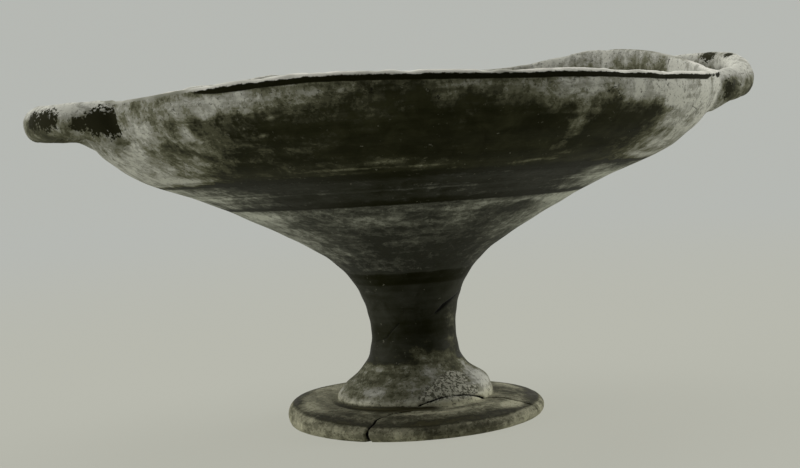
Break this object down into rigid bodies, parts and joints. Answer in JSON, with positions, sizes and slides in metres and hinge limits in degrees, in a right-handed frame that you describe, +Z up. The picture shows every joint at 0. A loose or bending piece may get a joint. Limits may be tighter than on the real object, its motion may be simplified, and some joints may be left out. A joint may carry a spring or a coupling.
{
  "type": "kylix cup",
  "caption": "Ancient shallow wine cup on a short stem and disc foot, with horizontal loop handles and worn dark slip over buff clay.",
  "frame": {"origin": "on the surface that the cup stands on, below the middle of the bowl's outline; the foot's own centre is 1.1 mm towards -X and 4 mm towards -Y, because the bowl leans", "axes": "+Z up; X runs through the two handles, and +X points to the handle that is bent upwards"},
  "size_m": [0.258, 0.2215, 0.1262],
  "materials": {
    "slipped_clay": "fired buff clay under a dark olive-black slip with a low sheen, worn to bare clay in patches, rubbed at the lip and handles, with fine cracks and a glued break in the foot"
  },
  "bodies": {
    "root": {"kylix": "slipped_clay"}
  },
  "joints": []
}
